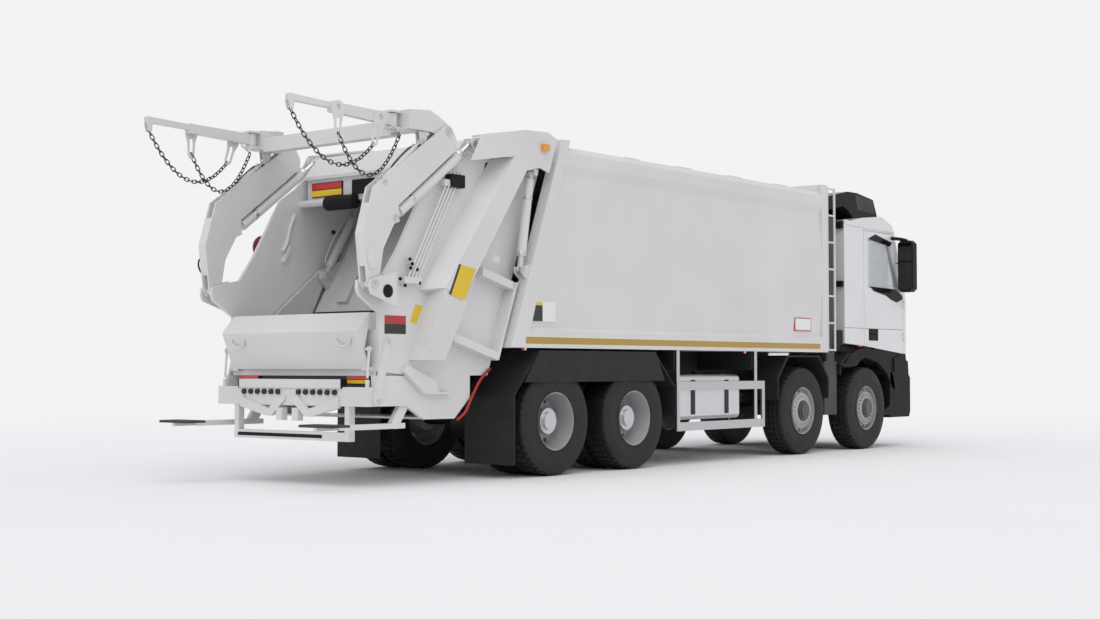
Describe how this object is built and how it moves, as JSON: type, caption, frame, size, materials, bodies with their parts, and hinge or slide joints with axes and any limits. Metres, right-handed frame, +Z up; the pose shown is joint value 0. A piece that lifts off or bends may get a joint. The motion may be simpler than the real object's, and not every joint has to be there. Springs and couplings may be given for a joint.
{
  "type": "garbage truck",
  "caption": "Garbage truck with a packing body, a lifting tailgate and a raised skip lift with chain arms.",
  "frame": {"origin": "on the ground, under the middle of the bounding box, wheels standing on z = 0", "axes": "+X to the truck's right, +Y to the nose, +Z up"},
  "size_m": [2.9, 11.48, 3.5148],
  "materials": {
    "cast_parts": "matte",
    "black_paint": "satin",
    "white_paint": "gloss",
    "black_plastic": "matte",
    "grey_steel": "satin",
    "clear_glass": "gloss",
    "seat_fabric": "matte",
    "tyre_rubber": "matte",
    "wheel_paint": "satin",
    "lamp_lens": "gloss",
    "bright_rod": "gloss"
  },
  "bodies": {
    "chassis": {"driveline": "cast_parts", "frame": "black_paint", "body_sides": "white_paint", "body_roof": "white_paint", "body_floor": "white_paint", "front_frame": "white_paint", "rear_frame": "white_paint", "mudguards": "black_plastic", "fuel_tank": "white_paint", "chassis_boxes": "black_paint", "side_guards": "grey_steel", "cab_shell": "white_paint", "windscreen": "clear_glass", "bumper": "white_paint", "roof_unit": "black_plastic", "cab_interior": "seat_fabric"},
    "knuckle_first_left": {"knuckle_first_left": "cast_parts"},
    "wheel_first_left": {"tyre_first_left": "tyre_rubber", "rim_first_left": "wheel_paint"},
    "knuckle_first_right": {"knuckle_first_right": "cast_parts"},
    "wheel_first_right": {"tyre_first_right": "tyre_rubber", "rim_first_right": "wheel_paint"},
    "knuckle_second_left": {"knuckle_second_left": "cast_parts"},
    "wheel_second_left": {"tyre_second_left": "tyre_rubber", "rim_second_left": "wheel_paint"},
    "knuckle_second_right": {"knuckle_second_right": "cast_parts"},
    "wheel_second_right": {"tyre_second_right": "tyre_rubber", "rim_second_right": "wheel_paint"},
    "wheel_third_left": {"tyre_third_left": "tyre_rubber", "rim_third_left": "wheel_paint"},
    "wheel_third_right": {"tyre_third_right": "tyre_rubber", "rim_third_right": "wheel_paint"},
    "wheel_fourth_left": {"tyre_fourth_left": "tyre_rubber", "rim_fourth_left": "wheel_paint"},
    "wheel_fourth_right": {"tyre_fourth_right": "tyre_rubber", "rim_fourth_right": "wheel_paint"},
    "door_left": {"door_left": "white_paint", "door_glass_left": "clear_glass"},
    "door_right": {"door_right": "white_paint", "door_glass_right": "clear_glass"},
    "tailgate": {"tail_walls": "white_paint", "hopper_floor": "white_paint", "tail_roof": "white_paint", "guide_beams": "white_paint", "tail_lamps": "lamp_lens"},
    "tailgate_barrels": {"tailgate_barrels": "white_paint"},
    "tailgate_rods": {"tailgate_rods": "bright_rod"},
    "lift_arms": {"lift_arms": "white_paint"},
    "lift_barrels": {"lift_barrels": "white_paint"},
    "lift_rods": {"lift_rods": "bright_rod"},
    "lift_beam": {"lift_beam": "white_paint"},
    "tilt_barrels": {"tilt_barrels": "white_paint"},
    "tilt_rods": {"tilt_rods": "bright_rod"},
    "chain_arm_left": {"chain_arm_left": "white_paint"},
    "chain_arm_right": {"chain_arm_right": "white_paint"},
    "packer_carriage": {"packer_carriage": "white_paint"},
    "packer_plate": {"packer_plate": "white_paint"},
    "sill_flap": {"sill_flap": "white_paint"},
    "flap_rods": {"flap_rods": "black_paint"},
    "foot_steps": {"foot_steps": "white_paint"}
  },
  "joints": [
    {"name": "steer_first_left", "type": "hinge", "parent": "chassis", "child": "knuckle_first_left", "pos_m": [-0.88, 4.39, 0.552], "axis": [0, 0, 1], "range_deg": [-35, 35]},
    {"name": "spin_first_left", "type": "hinge", "parent": "knuckle_first_left", "child": "wheel_first_left", "pos_m": [-1.03, 4.39, 0.552], "axis": [1, 0, 0], "continuous": true},
    {"name": "steer_first_right", "type": "hinge", "parent": "chassis", "child": "knuckle_first_right", "pos_m": [0.88, 4.39, 0.552], "axis": [0, 0, 1], "range_deg": [-35, 35]},
    {"name": "spin_first_right", "type": "hinge", "parent": "knuckle_first_right", "child": "wheel_first_right", "pos_m": [1.03, 4.39, 0.552], "axis": [1, 0, 0], "continuous": true},
    {"name": "steer_second_left", "type": "hinge", "parent": "chassis", "child": "knuckle_second_left", "pos_m": [-0.88, 2.69, 0.552], "axis": [0, 0, 1], "range_deg": [-25.5, 25.5]},
    {"name": "spin_second_left", "type": "hinge", "parent": "knuckle_second_left", "child": "wheel_second_left", "pos_m": [-1.03, 2.69, 0.552], "axis": [1, 0, 0], "continuous": true},
    {"name": "steer_second_right", "type": "hinge", "parent": "chassis", "child": "knuckle_second_right", "pos_m": [0.88, 2.69, 0.552], "axis": [0, 0, 1], "range_deg": [-25.5, 25.5]},
    {"name": "spin_second_right", "type": "hinge", "parent": "knuckle_second_right", "child": "wheel_second_right", "pos_m": [1.03, 2.69, 0.552], "axis": [1, 0, 0], "continuous": true},
    {"name": "spin_third_left", "type": "hinge", "parent": "chassis", "child": "wheel_third_left", "pos_m": [-0.9, -0.99, 0.552], "axis": [1, 0, 0], "continuous": true},
    {"name": "spin_third_right", "type": "hinge", "parent": "chassis", "child": "wheel_third_right", "pos_m": [0.9, -0.99, 0.552], "axis": [1, 0, 0], "continuous": true},
    {"name": "spin_fourth_left", "type": "hinge", "parent": "chassis", "child": "wheel_fourth_left", "pos_m": [-0.9, -2.34, 0.552], "axis": [1, 0, 0], "continuous": true},
    {"name": "spin_fourth_right", "type": "hinge", "parent": "chassis", "child": "wheel_fourth_right", "pos_m": [0.9, -2.34, 0.552], "axis": [1, 0, 0], "continuous": true},
    {"name": "door_hinge_left", "type": "hinge", "parent": "chassis", "child": "door_left", "pos_m": [-1.164, 5.564, 2], "axis": [0, 0, -1], "range_deg": [0, 75]},
    {"name": "door_hinge_right", "type": "hinge", "parent": "chassis", "child": "door_right", "pos_m": [1.164, 5.564, 2], "axis": [0, 0, 1], "range_deg": [0, 75]},
    {"name": "tailgate_hinge", "type": "hinge", "parent": "chassis", "child": "tailgate", "pos_m": [0, -2.28, 3.44], "axis": [-1, 0, 0], "range_deg": [0, 70]},
    {"name": "tailgate_barrel_swing", "type": "hinge", "parent": "tailgate", "child": "tailgate_barrels", "pos_m": [0, -2.699, 3.048], "axis": [1, 0, 0], "range_deg": [0, 77.69]},
    {"name": "tailgate_rod_slide", "type": "slide", "parent": "tailgate_barrels", "child": "tailgate_rods", "axis": [0, -0.1616, -0.9869], "range_m": [0, 0.6464]},
    {"name": "lift_arms_hinge", "type": "hinge", "parent": "tailgate", "child": "lift_arms", "pos_m": [0, -4.87, 1.842], "axis": [1, 0, 0], "range_deg": [0, 60]},
    {"name": "lift_barrel_swing", "type": "hinge", "parent": "lift_arms", "child": "lift_barrels", "pos_m": [0, -4.579, 2.454], "axis": [1, 0, 0], "range_deg": [-71.53, 0]},
    {"name": "lift_rod_slide", "type": "slide", "parent": "lift_barrels", "child": "lift_rods", "axis": [0, 0.7991, 0.6012], "range_m": [0, 0.6127]},
    {"name": "lift_beam_tilt", "type": "hinge", "parent": "lift_arms", "child": "lift_beam", "pos_m": [0, -3.877, 3.327], "axis": [-1, 0, 0], "range_deg": [0, 45]},
    {"name": "tilt_barrel_swing", "type": "hinge", "parent": "lift_arms", "child": "tilt_barrels", "pos_m": [0, -4.719, 2.77], "axis": [1, 0, 0], "range_deg": [0, 13.1]},
    {"name": "tilt_rod_slide", "type": "slide", "parent": "tilt_barrels", "child": "tilt_rods", "axis": [0, 0.7638, 0.6454], "range_m": [0, 0.2036]},
    {"name": "chain_arm_swing_left", "type": "hinge", "parent": "lift_beam", "child": "chain_arm_left", "pos_m": [-0.995, -4.47, 3.38], "axis": [0, 0, 1], "range_deg": [-10, 30]},
    {"name": "chain_arm_swing_right", "type": "hinge", "parent": "lift_beam", "child": "chain_arm_right", "pos_m": [0.995, -4.47, 3.38], "axis": [0, 0, -1], "range_deg": [-10, 30]},
    {"name": "packer_carriage_slide", "type": "slide", "parent": "tailgate", "child": "packer_carriage", "axis": [0, -0.53, -0.848], "range_m": [-0.43, 0]},
    {"name": "packer_plate_swing", "type": "hinge", "parent": "packer_carriage", "child": "packer_plate", "pos_m": [0, -3.549, 2.06], "axis": [1, 0, 0], "range_deg": [0, 20]},
    {"name": "sill_flap_hinge", "type": "hinge", "parent": "tailgate", "child": "sill_flap", "pos_m": [0, -4.7, 1.081], "axis": [1, 0, 0], "range_deg": [0, 60]},
    {"name": "flap_rods_swing", "type": "hinge", "parent": "sill_flap", "child": "flap_rods", "pos_m": [0, -4.753, 1.263], "axis": [1, 0, 0], "range_deg": [-61, 0]},
    {"name": "foot_steps_fold", "type": "hinge", "parent": "tailgate", "child": "foot_steps", "pos_m": [0, -5.14, 0.56], "axis": [-1, 0, 0], "range_deg": [0, 90]}
  ],
  "couplings": [
    {"joint": "steer_first_right", "follows": "steer_first_left", "ratio": 1},
    {"joint": "steer_second_left", "follows": "steer_first_left", "ratio": 0.72},
    {"joint": "steer_second_right", "follows": "steer_first_left", "ratio": 0.72},
    {"joint": "tailgate_barrel_swing", "follows": "tailgate_hinge", "ratio": 1.0987},
    {"joint": "tailgate_rod_slide", "follows": "tailgate_hinge", "m_per_rad": 0.52384},
    {"joint": "lift_barrel_swing", "follows": "lift_arms_hinge", "ratio": -1.1801},
    {"joint": "lift_rod_slide", "follows": "lift_arms_hinge", "m_per_rad": 0.57925},
    {"joint": "tilt_barrel_swing", "follows": "lift_beam_tilt", "ratio": 0.28804},
    {"joint": "tilt_rod_slide", "follows": "lift_beam_tilt", "m_per_rad": 0.25666},
    {"joint": "flap_rods_swing", "follows": "sill_flap_hinge", "ratio": -1}
  ]
}
